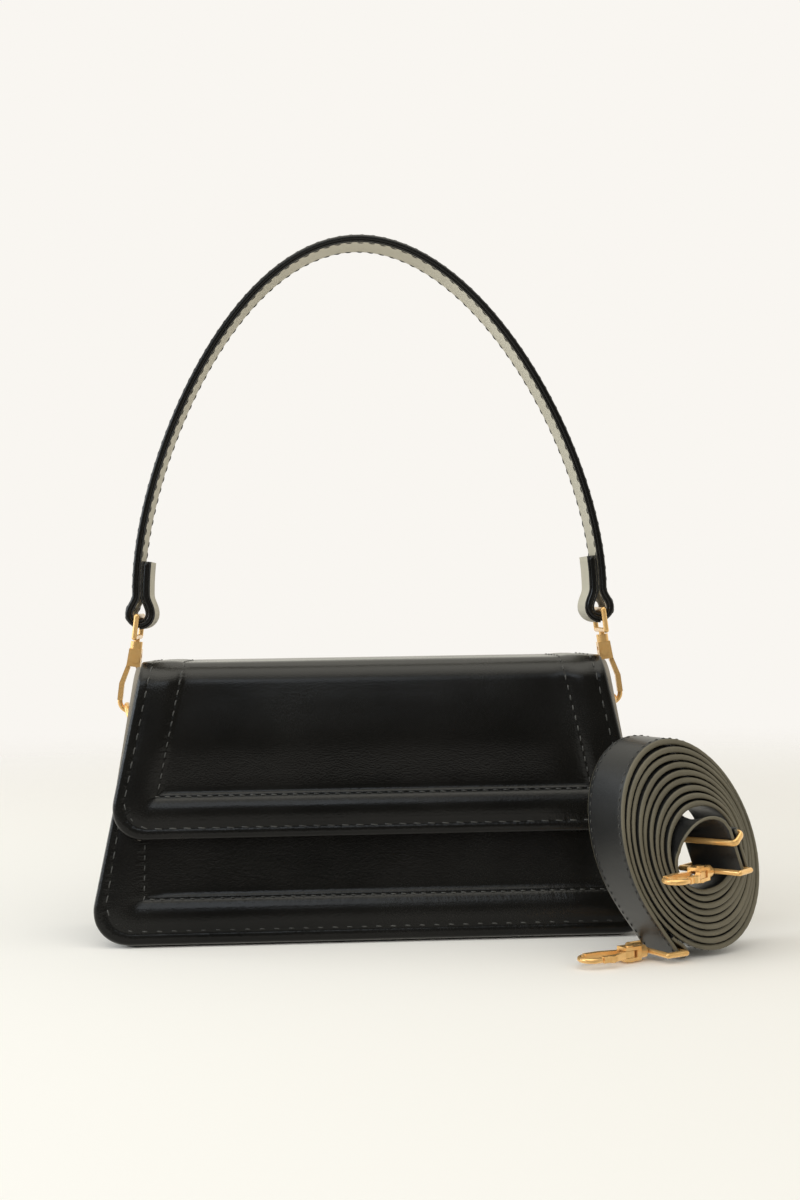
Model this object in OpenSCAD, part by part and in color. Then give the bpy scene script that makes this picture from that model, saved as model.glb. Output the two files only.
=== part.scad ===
// Baguette bag with a turned-down flap, a short clip-on handle and a rolled shoulder strap.
// Millimetres. X runs along the bag's width, -Y is the front, +Z is up.
// The origin is the middle of the base, on the surface that the bag stands on.

/* [Bag body] */
// Width of the bag across its base
base_w = 220; // [200:1:240]
// Width of the bag across its top edge
top_w = 177; // [172:1:180]
// How much narrower the back panel is across its top, so that the hooks swing past it
back_narrow = 7; // [6:0.5:11]
// Height of the flap's hinge line above the floor
hinge_z = 105; // [103:1:107]
// Depth of the bag at its base
base_d = 53; // [49:1:58]
// Depth of the bag at its top
top_d = 31; // [30:0.5:33]
// Radius of the panels' lower corners
corner_r = 16; // [12:1:20]
// Height of the panels' lower edge above the floor
panel_lift = 0.8; // [0.4:0.2:1.6]
// Distance that the side gussets sit inside the panels' edges
gusset_inset = 5; // [4:0.5:5.5]
// Distance of the base panel's seams from the base's two ends
base_seam_in = 18; // [15:1:30]

/* [Materials' thickness] */
// Thickness of the outer leather
leather_t = 1.6; // [1.2:0.1:2]
// Thickness of the stiffening boards
board_t = 1.2; // [0.9:0.1:1.4]
// Thickness of the board in the base
base_board_t = 2; // [1.5:0.1:2.5]
// Thickness of the lining cloth
lining_t = 0.8; // [0.5:0.1:0.8]

/* [Padded borders] */
// Width of the padded border round the flap
border_w = 17; // [13:0.5:20]
// Thickness of the padded borders
border_t = 2.4; // [1.6:0.1:2.6]
// Half the width of the flat field on the lower front panel
field_half_w = 86.5; // [70:0.5:87]
// Height of the lower edge of that field
field_z = 19; // [15:0.5:26]
// Radius of the inner corners of the borders
field_r = 3; // [1:0.5:6]

/* [Flap] */
// Length of the flap's flat front, from the fold down
flap_l = 58; // [48:1:70]
// Radius inside the flap's fold
fold_r = 6; // [4:0.5:8]
// Radius of the flap's lower corners
flap_corner_r = 15; // [10:1:20]
// Thickness of the board in the flap
flap_board_t = 1; // [0.8:0.1:1.4]
// Space between the flap's lining and the border under it
flap_gap = 0.4; // [0.3:0.05:0.6]

/* [Pocket and closure] */
// Width of the slip pocket
pocket_w = 100; // [70:2:130]
// Height of the slip pocket's lower edge
pocket_z = 34; // [25:1:40]
// Depth of the slip pocket
pocket_h = 50; // [35:1:60]
// Radius of the magnetic discs
magnet_r = 7; // [5:0.25:8]
// Height of the magnets along the front
magnet_z = 56; // [52:0.5:68]
// Thickness of the disc on the body
magnet_t = 1.6; // [1.2:0.1:1.7]
// Thickness of the disc on the flap
flap_magnet_t = 1; // [0.6:0.1:1]
// Thickness of the washer behind each disc
washer_t = 0.7; // [0.5:0.05:0.8]

/* [Side rings] */
// Radius of the rings' wire
ring_wire_r = 1; // [0.8:0.05:1.1]
// Half the length of a ring's straight bar, between wire centres
ring_half_w = 7.5; // [6.5:0.1:8]
// Height of a ring from its bar to its crown, between wire centres
ring_h = 12.4; // [11.5:0.1:12.6]
// Height of the tab's end on the gusset at which the ring turns
ring_z = 77.9; // [77.5:0.1:78]
// Angle at which the ring leans out from upright
ring_lean = 21; // [18:0.5:22]
// Length of the leather tab below its ring
tab_l = 18; // [12:1:24]
// Outer radius of the tab's roll round the bar
tab_roll_r = 2.6; // [2.4:0.1:2.8]

/* [Hooks] */
// Half the space inside the hook's claw
claw_half = 3; // [2.7:0.1:3.2]
// Radius of the claw's wire
claw_r = 0.95; // [0.8:0.05:1]
// Thickness of the gate
gate_t = 2.3; // [2:0.1:2.5]
// Distance from the claw's bend to the body of the hook
claw_l = 17.5; // [16.5:0.5:18.5]
// Length of the hook's body
hook_body_l = 7; // [6.5:0.5:8]
// Half the thickness of the hook's body
hook_body_half = 2.5; // [2.4:0.1:2.6]
// Radius of the gate's rivet
rivet_r = 0.8; // [0.7:0.05:0.9]
// Radius of the swivel's post
post_r = 1.1; // [0.9:0.05:1.2]
// Radius of the swivel's collar
collar_r = 2.3; // [2:0.1:2.4]
// Length of the swivel's collar
collar_l = 2.9; // [2:0.1:3.2]
// Radius of the eye's wire
eye_wire_r = 1; // [0.8:0.05:1]
// Height of the eye between wire centres
eye_h = 8.2; // [8:0.1:9]
// Running clearance between the parts that turn in each other
run_gap = 0.06; // [0.03:0.01:0.08]

/* [Handle] */
// Width of the handle's band and of the shoulder strap
band_w = 20; // [16:0.5:22]
// Thickness of the handle's black leather
handle_t = 2.4; // [2:0.1:2.6]
// Thickness of the pale lining inside the handle
handle_lining_t = 0.7; // [0.5:0.05:0.8]
// Height of the top of the handle's arch
handle_top = 272; // [240:1:300]
// Distance that the outsides of the handle's legs stand out of the top edge's ends
handle_out = 4; // [4:0.25:5.5]
// Distance that the arch's top leans to the left
handle_sway = 3; // [0:0.5:5]
// Height at which the folded ends close up
leg_z = 133; // [131:1:136]
// Length of the folded ends that lies on the handle's legs
tab_rise = 12.5; // [8:0.5:18]
// Half the width of the loop at the handle's end, between leather centres
loop_r = 4.3; // [4.2:0.05:4.5]
// Height of the line on which the handle turns in the side rings
swing_z = 87.5; // [87:0.25:88]
// Distance that the hooks' lower bends hang out from the side rings' bars
hook_hang = 3.7; // [3.6:0.1:4]
// Distance that the middles of the eyes' upper bars stand out of the top edge's ends
eye_out = 2.1; // [1.9:0.1:2.4]

/* [Shoulder strap roll] */
// Where the middle of the roll stands on the floor
roll_x = 106.5; // [106:0.5:130]
// Distance of the roll's middle in front of the bag's middle
roll_front = 62; // [62:0.5:75]
// Angle of the roll's flat face to the bag's front
roll_turn = 27.6; // [20:0.2:29]
// Whole turns of the rolled strap
roll_turns = 9; // [6:1:10]
// Longer half axis of the roll's outer turn
roll_a = 42.2; // [40:0.2:46]
// Shorter half axis of the roll's outer turn
roll_b = 27.6; // [26.5:0.2:32]
// Angle by which the roll's longer axis leans to the left
roll_tilt = 28; // [24:1:32]
// Step between turns along the longer axis
step_a = 3; // [2.2:0.05:3]
// Step between turns along the shorter axis
step_b = 1.5; // [1.5:0.05:1.7]
// Distance that the inner turns stand out of the roll
roll_slide = 7; // [4:0.5:8]
// Thickness of the strap
strap_t = 1; // [0.8:0.05:1.05]
// Length of the slider along the strap
slider_l = 5; // [4:0.5:7]
// Height of the lower eye's bar above the floor
floor_eye_z = 3.1; // [3:0.1:3.4]

/* [Hidden] */
$fn = 48;

black = "#1b1a19";
lining_black = "#232120";
pale = "#bdb9ab";
gold = "#d9a860";
board_grey = "#8f887c";

back_top_w = top_w - back_narrow;
base_panel_l = base_w - 2 * base_seam_in;
handle_half_w = top_w / 2 + handle_out;
eye_half_w = top_w / 2 + eye_out;
lean = atan((base_d - top_d) / 2 / hinge_z);
side_slope = (base_w - top_w) / 2 / hinge_z;
side_angle = atan(side_slope);
flap_t = leather_t + flap_board_t + lining_t;
hinge_y = top_d / 2 - 1.3;
seam_gap = 0.3;
touch = 0.05;
body_top = hinge_z - flap_t / 2 - seam_gap;
gusset_top = body_top - 3;
board_inset = gusset_inset + leather_t + seam_gap;
board_z = (leather_t + (leather_t + board_t) * sin(lean) + touch) / cos(lean);
front_top = body_top - 1.2;
lining_inset = gusset_inset + leather_t;
lining_z = leather_t + base_board_t;
ring_half_fit = ring_half_w - ring_wire_r - 0.3;

// Half the width of a panel at a height, less an inset
function half_w(z, inset = 0, w_top = top_w) =
    base_w / 2 - min(z, hinge_z) * (base_w - w_top) / 2 / hinge_z - inset;

// Right half of a panel's outline, from the middle of a round lower corner to the top
function right_side(inset, z0, z1, r, w_top) =
    let (slope = (base_w - w_top) / 2 / hinge_z, a = atan(slope), zc = z0 + r,
         xc = half_w(zc, inset, w_top) - r / cos(a))
    concat([for (i = [0:8]) let (t = -90 + i * (90 + a) / 8) [xc + r * cos(t), zc + r * sin(t)]],
           [[half_w(z1, inset, w_top), z1]]);
function mirrored(pts) = [for (i = [len(pts) - 1:-1:0]) [-pts[i][0], pts[i][1]]];
function outline(inset, z0, z1, r, w_top = top_w) =
    let (side = right_side(inset, z0, z1, r, w_top)) concat(side, mirrored(side));

// A flat piece that lies against the front, its outer face this deep below the leather's face
module on_front(depth, thick) {
    translate([0, -base_d / 2, 0]) rotate([90 - lean, 0, 0])
        translate([0, 0, -depth - thick]) linear_extrude(thick) children();
}
module on_back(depth, thick) {
    mirror([0, 1, 0]) on_front(depth, thick) children();
}
module along_x(w) {
    rotate([90, 0, 90]) linear_extrude(w, center = true) children();
}
module along_y(w) {
    rotate([90, 0, 0]) linear_extrude(w, center = true) children();
}

// The space between the two panels, down to a depth below their outer faces
module between_panels(depth, z0, z1) {
    d = depth / cos(lean);
    y0 = base_d / 2 - z0 * tan(lean) - d;
    y1 = base_d / 2 - z1 * tan(lean) - d;
    along_x(base_w) polygon([[-y0, z0], [y0, z0], [y1, z1], [-y1, z1]]);
}

module front_panel() {
    color(black) on_front(0, leather_t) polygon(outline(0, panel_lift, front_top, corner_r));
}
module front_border() {
    color(black) on_front(-border_t, border_t) difference() {
        polygon(outline(0, panel_lift, fold_z, corner_r));
        polygon(field_outline());
    }
}
function field_outline() =
    let (r = field_r,
         side = concat([for (i = [0:4]) let (t = -90 + i * 90 / 4)
                        [field_half_w - r + r * cos(t), field_z + r + r * sin(t)]],
                       [[field_half_w, body_top + 1]]))
    concat(side, mirrored(side));
module front_board() {
    color(board_grey) on_front(leather_t, board_t) difference() {
        polygon(outline(board_inset, board_z, body_top - 2, corner_r - board_inset));
        translate([0, magnet_z]) circle(magnet_r + seam_gap);
    }
}
module back_panel() {
    color(black) on_back(0, leather_t)
        polygon(outline(0, panel_lift, body_top, corner_r, back_top_w));
}
module back_board() {
    color(board_grey) on_back(leather_t, board_t) polygon(
        outline(board_inset, board_z, body_top - 2, corner_r - board_inset, back_top_w));
}

// The strip that goes up one side, along the base and up the other side
module side_strip() {
    intersection() {
        difference() {
            along_y(base_d) polygon(
                outline(gusset_inset, 0, gusset_top, corner_r - gusset_inset));
            along_y(base_d + 2) polygon(outline(gusset_inset + leather_t, leather_t,
                gusset_top + 1, corner_r - gusset_inset - leather_t));
        }
        between_panels(leather_t, 0, gusset_top);
        back_taper();
    }
}
// Keeps what stands between the panels inside the narrower back panel too
module back_taper() {
    inset = gusset_inset - 1.5;
    far = base_d / 2;
    union() {
        translate([0, -far / 2, hinge_z / 2])
            cube([base_w, far + 2 * touch, hinge_z + 2], center = true);
        translate([0, far / 2, 0]) rotate([90, 0, 0]) linear_extrude(far, center = true)
            polygon([[half_w(0, inset), 0], [half_w(hinge_z, inset, back_top_w), hinge_z],
                     [-half_w(hinge_z, inset, back_top_w), hinge_z], [-half_w(0, inset), 0]]);
    }
}
module right_gusset() {
    color(black) intersection() {
        side_strip();
        translate([base_panel_l / 2, -base_d, -1]) cube([base_w, 2 * base_d, hinge_z + 2]);
    }
    color(black) intersection() {
        side_strip();
        translate([0, -base_d, corner_r]) cube([base_w, 2 * base_d, hinge_z]);
    }
}
module left_gusset() {
    mirror([1, 0, 0]) right_gusset();
}
module base_panel() {
    color(black) intersection() {
        side_strip();
        cube([base_panel_l, 2 * base_d, 2 * corner_r], center = true);
    }
}
module base_board() {
    half_l = half_w(corner_r, board_inset) - corner_r + board_inset;
    z1 = leather_t + base_board_t;
    y = base_d / 2 - z1 * tan(lean) - (leather_t + board_t) / cos(lean) - touch;
    color(board_grey) translate([-half_l, -y, leather_t])
        cube([2 * half_l, 2 * y, base_board_t]);
}

// An open bag of cloth that covers the boards, the base and the gussets
module lining() {
    z1 = body_top - 2;
    inner = lining_inset + lining_t;
    skin = leather_t + board_t;
    color(lining_black) difference() {
        intersection() {
            along_y(base_d) polygon(outline(lining_inset, lining_z, z1, corner_r - lining_inset));
            between_panels(skin, lining_z, z1);
            lining_taper(lining_inset);
        }
        intersection() {
            along_y(base_d) polygon(
                outline(inner, lining_z + lining_t, z1 + 1, corner_r - inner));
            between_panels(skin + lining_t, lining_z + lining_t, z1 + 1);
            lining_taper(inner);
        }
    }
}
module lining_taper(inset) {
    along_y(base_d) polygon(outline(inset - 0.4, 0, hinge_z, corner_r - inset, back_top_w + 3));
}
module slip_pocket() {
    color(lining_black) on_back(leather_t + board_t + lining_t, lining_t)
        translate([-pocket_w / 2, pocket_z]) square([pocket_w, pocket_h]);
}
module body_magnet() {
    color(gold) on_front(-magnet_t, magnet_t) translate([0, magnet_z]) circle(magnet_r);
}
module body_magnet_washer() {
    color(gold) on_front(leather_t, washer_t) translate([0, magnet_z]) circle(magnet_r);
}

// The flap's section: a strip over the mouth, a round fold and a flat front, at an offset
// outside the lining's inner face
flap_z = hinge_z - flap_t / 2;
flap_off = border_t + flap_gap;
fold_z = flap_z - fold_r;
fold_y = -base_d / 2 + fold_z * tan(lean) + (fold_r - flap_off) / cos(lean);
function flap_path(off, y0) = concat([[y0, flap_z + off]],
    [for (i = [0:10]) let (t = 90 + i * (90 - lean) / 10)
        [fold_y + (fold_r + off) * cos(t), fold_z + (fold_r + off) * sin(t)]],
    [[fold_y - (fold_r + off) * cos(lean) - flap_l * sin(lean),
      fold_z + (fold_r + off) * sin(lean) - flap_l * cos(lean)]]);
function reversed(pts) = [for (i = [len(pts) - 1:-1:0]) pts[i]];
flap_low_z = fold_z + fold_r * sin(lean) - flap_l * cos(lean);

module flap_shape(inset) {
    top = hinge_z + 12;
    along_y(3 * base_d) polygon(outline(inset, flap_low_z + inset - 1, top, flap_corner_r - min(inset, 10)));
}
// Cuts the strip over the mouth to the narrower back edge
module strip_taper(inset) {
    front_y = fold_y;
    linear_extrude(4 * hinge_z, center = true) polygon([
        [base_w, -2 * base_d], [base_w, front_y], [top_w / 2 - inset, front_y],
        [back_top_w / 2 - inset, hinge_y], [back_top_w / 2 - inset, base_d],
        [-back_top_w / 2 + inset, base_d], [-back_top_w / 2 + inset, hinge_y],
        [-top_w / 2 + inset, front_y], [-base_w, front_y], [-base_w, -2 * base_d]]);
}
module flap_layer(o0, o1, y0, inset) {
    intersection() {
        along_x(base_w + 10) polygon(concat(flap_path(o1, y0), reversed(flap_path(o0, y0))));
        flap_shape(inset);
        strip_taper(inset);
    }
}
module flap_panel() {
    color(black) {
        flap_layer(lining_t + flap_board_t, flap_t, hinge_y, 0);
        intersection() {
            translate([0, hinge_y, hinge_z]) rotate([0, 90, 0])
                cylinder(r = flap_t / 2, h = base_w, center = true);
            strip_taper(0);
        }
    }
}
module flap_board() {
    color(board_grey) difference() {
        flap_layer(lining_t, lining_t + flap_board_t, hinge_y - flap_t / 2 - seam_gap, 0);
        on_front(-flap_off - flap_t, flap_t) translate([0, magnet_z]) circle(magnet_r + seam_gap);
    }
}
module flap_lining() {
    color(lining_black) flap_layer(0, lining_t, hinge_y - flap_t / 2 - seam_gap, 0);
}
module flap_border() {
    color(black) difference() {
        flap_layer(flap_t, flap_t + border_t, hinge_y - 6, 0);
        flap_field();
    }
}
module flap_field() {
    r = field_r;
    along_y(3 * base_d) polygon(outline(border_w, flap_low_z + border_w, hinge_z + 12, r));
}
module flap_magnet() {
    color(gold) on_front(-flap_off, flap_magnet_t) translate([0, magnet_z])
        circle(magnet_r - 0.5);
}
module flap_magnet_washer() {
    color(gold) on_front(-flap_off - lining_t - washer_t, washer_t) translate([0, magnet_z])
        circle(magnet_r);
}

// Where the side ring's bar lies: on the gusset, one roll's radius out of it
tab_x = half_w(ring_z, gusset_inset);
bar_x = tab_x + tab_roll_r * cos(side_angle);
bar_z = ring_z + tab_roll_r * sin(side_angle);
module right_ring_tab() {
    w = 2 * ring_half_fit;
    color(black) translate([tab_x, 0, ring_z]) rotate([0, -side_angle, 0]) difference() {
        union() {
            translate([0, -w / 2, -tab_l]) cube([tab_roll_r, w, tab_l]);
            translate([tab_roll_r, 0, 0]) rotate([90, 0, 0])
                cylinder(r = tab_roll_r, h = w, center = true);
        }
        translate([tab_roll_r, 0, 0]) rotate([90, 0, 0])
            cylinder(r = ring_wire_r + run_gap, h = w + 2, center = true);
    }
}
module left_ring_tab() {
    mirror([1, 0, 0]) right_ring_tab();
}
module right_d_ring() {
    leg = ring_h - ring_half_w;
    color(gold) translate([bar_x, 0, bar_z]) rotate([0, ring_lean, 0]) {
        rotate([90, 0, 0]) cylinder(r = ring_wire_r, h = 2 * ring_half_w, center = true);
        for (s = [-1, 1]) translate([0, s * ring_half_w, 0]) {
            sphere(ring_wire_r);
            cylinder(r = ring_wire_r, h = leg);
        }
        translate([0, 0, leg]) rotate([90, 0, 90]) rotate_extrude(angle = 180)
            translate([ring_half_w, 0]) circle(ring_wire_r);
    }
}
module left_d_ring() {
    mirror([1, 0, 0]) right_d_ring();
}

// One snap hook, drawn upright with the middle of its lower bend at the origin:
// the claw with its fixed arm at +X, the gate at -X, the swivel above
bend_r = claw_half + claw_r;
body_z1 = claw_l + hook_body_l;
rivet_x = -0.6;
rivet_z = claw_l + 2.9;
gate_half = gate_t / 2;
slot_half = gate_half + 0.15;
head_z = body_z1 - 1.6;
eye_z = body_z1 + collar_l + 1.7;
eye_half = band_w / 2 + 0.4 + eye_wire_r;
hook_l = eye_z + eye_h;
module hook_claw() {
    i = claw_half - touch;
    o = claw_half + 2 * claw_r + touch;
    color(gold) difference() {
        union() {
            translate([0, 0, bend_r]) rotate([90, 0, 0]) rotate([0, 0, 180])
                rotate_extrude(angle = 180) translate([bend_r, 0]) circle(claw_r);
            translate([-bend_r, 0, bend_r]) cylinder(r = claw_r, h = 1.2);
            translate([-bend_r, 0, bend_r + 1.2]) sphere(claw_r);
            along_y(2 * claw_r + 0.2) polygon([[i, bend_r - touch], [o, bend_r - touch],
                [o, claw_l - 7], [2.8, claw_l + 1], [1, claw_l + 1], [i, claw_l - 7]]);
            along_y(2 * hook_body_half) polygon([[-2.5, claw_l], [2.8, claw_l],
                [2.4, body_z1], [-2.4, body_z1]]);
            translate([0, 0, body_z1 - touch]) cylinder(r = collar_r, h = collar_l + touch);
        }
        translate([-4, -slot_half, claw_l - 0.5]) cube([5.5, 2 * slot_half, 5.6]);
        translate([rivet_x, 0, rivet_z]) rotate([90, 0, 0])
            cylinder(r = rivet_r + 0.02, h = 8, center = true);
        translate([0, 0, head_z - 0.2]) cylinder(r = post_r + 0.7, h = 1.3);
        translate([0, 0, head_z]) cylinder(r = post_r + run_gap, h = collar_l + 3);
    }
}
module hook_rivet() {
    color(gold) translate([rivet_x, 0, rivet_z]) rotate([90, 0, 0]) {
        cylinder(r = rivet_r, h = 2 * hook_body_half + 0.2, center = true);
        for (s = [-1, 1]) translate([0, 0, s * (hook_body_half + 0.2)])
            cylinder(r = rivet_r + 0.6, h = 0.4, center = true);
    }
}
module hook_gate() {
    o = claw_half + 2 * claw_r - 0.1;
    foot = bend_r + 1.4 + claw_r;
    color(gold) along_y(2 * gate_half) difference() {
        union() {
            polygon([[-o + 0.1, foot], [-claw_half - 0.1, foot], [-claw_half, claw_l - 5.5],
                [rivet_x, claw_l + 0.2], [rivet_x, rivet_z], [rivet_x - 1.8, rivet_z],
                [-2.5, claw_l], [-o + 0.1, claw_l - 5.5], [-o + 0.1, foot + 5],
                [-o - 0.9, foot + 4.2], [-o - 0.9, foot + 3], [-o + 0.1, foot + 2.2]]);
            translate([rivet_x, rivet_z]) circle(1.9);
        }
        translate([rivet_x, rivet_z]) circle(rivet_r + run_gap);
    }
}
module hook_spring() {
    z = claw_l + 0.45;
    color("silver") translate([0.15, 0, z]) rotate([0, 90, 0])
        cylinder(r = 0.5, h = 1.3);
}
module hook_eye() {
    color(gold) {
        translate([0, 0, head_z - 0.1]) cylinder(r = post_r + 0.55, h = 0.9);
        translate([0, 0, head_z]) cylinder(r = post_r, h = eye_z - head_z);
        for (z = [eye_z, hook_l]) translate([0, 0, z]) rotate([90, 0, 0])
            cylinder(r = eye_wire_r, h = 2 * eye_half, center = true);
        for (s = [-1, 1]) translate([0, s * eye_half, eye_z]) {
            sphere(eye_wire_r);
            cylinder(r = eye_wire_r, h = eye_h);
            translate([0, 0, eye_h]) sphere(eye_wire_r);
        }
    }
}

// The handle's hooks hang from its ends and lean out towards the side rings
swing_half_w = bar_x + hook_hang;
hook_lean = asin((swing_half_w - eye_half_w) / hook_l);
loop_eye_z = swing_z + hook_l * cos(hook_lean);
module at_right_hook() {
    translate([swing_half_w, 0, swing_z]) rotate([0, -hook_lean, 0]) children();
}
module at_left_hook() {
    mirror([1, 0, 0]) at_right_hook() children();
}

// The handle's line, from the top of the arch down the right leg, round the loop and up its
// folded end. The arch is a Bezier curve and the loop is a half circle with eased sides.
leg_x = handle_half_w - handle_t / 2;
end_gap = handle_t + 2 * handle_lining_t + 0.15;
loop_x = eye_half_w - 0.8;
loop_z = loop_eye_z + sqrt(pow(loop_r - handle_t / 2 - handle_lining_t - eye_wire_r - 0.1, 2)
    - pow(eye_half_w - loop_x, 2));
arch_rise = 50;
arch_reach = 50;
function bezier(p, t) = pow(1 - t, 3) * p[0] + 3 * t * pow(1 - t, 2) * p[1]
    + 3 * t * t * (1 - t) * p[2] + pow(t, 3) * p[3];
arch_ctl = [[0, handle_top - handle_t / 2], [arch_reach, handle_top - handle_t / 2],
    [leg_x, leg_z + arch_rise], [leg_x, leg_z]];
function ease(t) = (1 + cos(180 * t)) / 2;
function unit(v) = v / norm(v);
function across(v) = unit([-v[1], v[0]]);
handle_right = concat(
    [for (i = [0:24]) bezier(arch_ctl, i / 24)],
    [for (i = [1:5]) let (t = 1 - i / 6)
        [leg_x + (loop_x + loop_r - leg_x) * ease(t), loop_z + (leg_z - loop_z) * t]],
    [for (i = [0:12]) let (a = -i * 180 / 12) [loop_x + loop_r * cos(a), loop_z + loop_r * sin(a)]],
    [for (i = [1:5]) let (t = i / 6)
        [leg_x - end_gap + (loop_x - loop_r - leg_x + end_gap) * ease(t),
         loop_z + (leg_z - loop_z) * t]],
    [for (i = [0:2]) let (t = 1 - i * tab_rise / arch_rise / 6)
        bezier(arch_ctl, t) - end_gap * across(bezier(arch_ctl, t) - bezier(arch_ctl, t - 0.01))]);
// The arch hangs a little to the left of the middle
function swayed(p) = let (t = max(0, (p[1] - leg_z) / (handle_top - leg_z)))
    [p[0] - handle_sway * t * t, p[1]];
handle_line = [for (p = concat(mirrored(handle_right), [for (i = [1:len(handle_right) - 1])
    handle_right[i]])) swayed(p)];
function shifted(pts, off) = [for (i = [0:len(pts) - 1])
    pts[i] + off * across(pts[min(i + 1, len(pts) - 1)] - pts[max(i - 1, 0)])];
module band(pts, o0, o1) {
    along_y(band_w) polygon(concat(shifted(pts, o0), reversed(shifted(pts, o1))));
}
module handle_strap() {
    color(black) band(handle_line, -handle_t / 2, handle_t / 2);
}
module handle_lining() {
    color(pale) band(handle_line, -handle_t / 2 - handle_lining_t, -handle_t / 2);
}
module right_tab_facing() {
    facing = [for (i = [len(handle_right) - 11:len(handle_right) - 1]) swayed(handle_right[i])];
    color(pale) band(facing, handle_t / 2, handle_t / 2 + handle_lining_t);
}
module left_tab_facing() {
    facing = [for (i = [10:-1:0]) swayed(mirrored(handle_right)[i])];
    color(pale) band(facing, -handle_t / 2, -handle_t / 2 - handle_lining_t);
}

// The rolled strap's line in the roll's own frame: along its face, out of its face, up.
// It starts at the folded end on the floor, runs up the left side and winds inwards.
roll_z = sqrt(pow(roll_a * cos(roll_tilt), 2) + pow(roll_b * sin(roll_tilt), 2)) + strap_t / 2;
leave = 195;
rings_per_turn = 24;
fold_line_r = eye_wire_r + 0.15 + strap_t / 2;
function tilt(p) = [p[0] * cos(roll_tilt) - p[1] * sin(roll_tilt),
    p[0] * sin(roll_tilt) + p[1] * cos(roll_tilt)];
function on_roll(a, k) = [0, roll_z] + tilt([(roll_b - step_b * k) * cos(a),
    (roll_a - step_a * k) * sin(a)]);
function slide_at(k) = roll_slide * k / roll_turns;
leave_p = on_roll(leave, 0);
leave_d = unit(tilt([-roll_b * sin(leave), roll_a * cos(leave)]));
leave_n = [-leave_d[1], leave_d[0]];
tail_l = (leave_p[1] - floor_eye_z + fold_line_r * leave_n[1]) / -leave_d[1];
floor_eye = leave_p + tail_l * leave_d + fold_line_r * leave_n;
floor_tab_l = 7.5;
floor_tab_gap = strap_t + 0.55;
floor_fold_a = atan2(-leave_n[1], -leave_n[0]);
floor_tab = [for (i = [0:4]) let (t = i / 4)
    floor_eye - leave_d * floor_tab_l * (1 - t)
    + leave_n * (floor_tab_gap - fold_line_r + (2 * fold_line_r - floor_tab_gap) * ease(1 - t))];
floor_fold = [for (i = [1:9]) let (a = floor_fold_a + 180 - i * 18)
    floor_eye + fold_line_r * [cos(a), sin(a)]];
tail = [for (i = [0:2]) leave_p + leave_d * tail_l * (1 - i / 3)];
wound = [for (i = [0:roll_turns * rings_per_turn]) let (k = i / rings_per_turn)
    on_roll(leave - 360 * k, k)];

// The inner end leaves the last turn, bends back and crosses the hollow to its own eye
last_k = roll_turns;
inner_n = 4;
inner_bend_r = 7;
extra = [for (i = [1:inner_n]) on_roll(leave - 360 * last_k - 15 * i, last_k + i / 24)];
bend_from = extra[inner_n - 1];
bend_d = unit(bend_from - extra[inner_n - 2]);
bend_c = bend_from + inner_bend_r * [bend_d[1], -bend_d[0]];
bend_a0 = atan2(-bend_d[0], bend_d[1]) + 180;
bend_sweep = 140;
inner_bend = [for (i = [1:8]) let (a = bend_a0 - i * bend_sweep / 8)
    bend_c + inner_bend_r * [cos(a), sin(a)]];
run_a = bend_a0 - bend_sweep;
run_d = [sin(run_a), -cos(run_a)];
run_n = [cos(run_a), sin(run_a)];
run_from = bend_c + inner_bend_r * run_n;
run_l = 18;
inner_run = [for (i = [1:6]) run_from + run_d * run_l * i / 6];
inner_eye = run_from + run_d * run_l + fold_line_r * run_n;
inner_fold = [for (i = [1:9]) let (a = run_a + 180 + i * 18)
    inner_eye + fold_line_r * [cos(a), sin(a)]];
inner_tab = [for (i = [0:4])
    inner_eye + fold_line_r * run_n - run_d * (run_l - 1) * i / 4];
roll_line = concat(floor_tab, floor_fold, tail, wound, extra, inner_bend, inner_run, inner_fold,
    inner_tab);
n_outer = len(floor_tab) + len(floor_fold) + len(tail);
n_wound = len(wound);
n_turn_end = n_outer + n_wound + len(extra) + len(inner_bend);
inner_slide = 18;
inner_twist = 22;
// How far each ring of the strap stands out of the roll, and how far its width is turned.
// From the end of the bend on, the strap runs straight in a plane turned by the full twist.
function bend_share(i) = max(0, min(1, (i - n_outer - n_wound) / (n_turn_end - n_outer - n_wound)));
function out_at(i) = i < n_outer ? 0
    : slide_at(min(roll_turns, (i - n_outer) / rings_per_turn))
        + (inner_slide - roll_slide) * (1 - ease(bend_share(i)));
function twist_at(i) = inner_twist * (1 - ease(bend_share(i)));
function at3(i) = i < n_turn_end ? [roll_line[i][0], -out_at(i), roll_line[i][1]]
    : let (d = roll_line[i][0] - run_from[0])
        [run_from[0] + d * cos(inner_twist), d * sin(inner_twist) - inner_slide, roll_line[i][1]];
module at_inner_end(p) {
    at_roll() translate([run_from[0], -inner_slide, 0]) rotate([0, 0, inner_twist])
        translate([p[0] - run_from[0], 0, p[1]]) children();
}
function ring_at(i) = let (n = len(roll_line), p = at3(i),
    t = unit(at3(min(i + 1, n - 1)) - at3(max(i - 1, 0))),
    w = [sin(twist_at(i)), -cos(twist_at(i)), 0], m = unit(cross(t, w)), w2 = cross(m, t))
    [for (c = [[-1, -1], [1, -1], [1, 1], [-1, 1]])
        p + c[0] * band_w / 2 * w2 + c[1] * strap_t / 2 * m];
function seg_gap(p, a, b) = let (d = b - a, t = max(0, min(1, (p - a) * d / (d * d))))
    norm(p - a - t * d);
roll_gaps = [for (i = [0:len(roll_line) - 1]) for (j = [i + 14:len(roll_line) - 2])
    if (norm(roll_line[i] - roll_line[j]) < 12) seg_gap(roll_line[i], roll_line[j], roll_line[j + 1])];
echo(least_gap_of_the_rolled_strap_to_itself = min(roll_gaps) - strap_t);
roll_steps = [for (i = [1:len(roll_line) - 1]) norm(at3(i) - at3(i - 1))];
function total(v, i = 0) = i < len(v) ? v[i] + total(v, i + 1) : 0;
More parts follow.
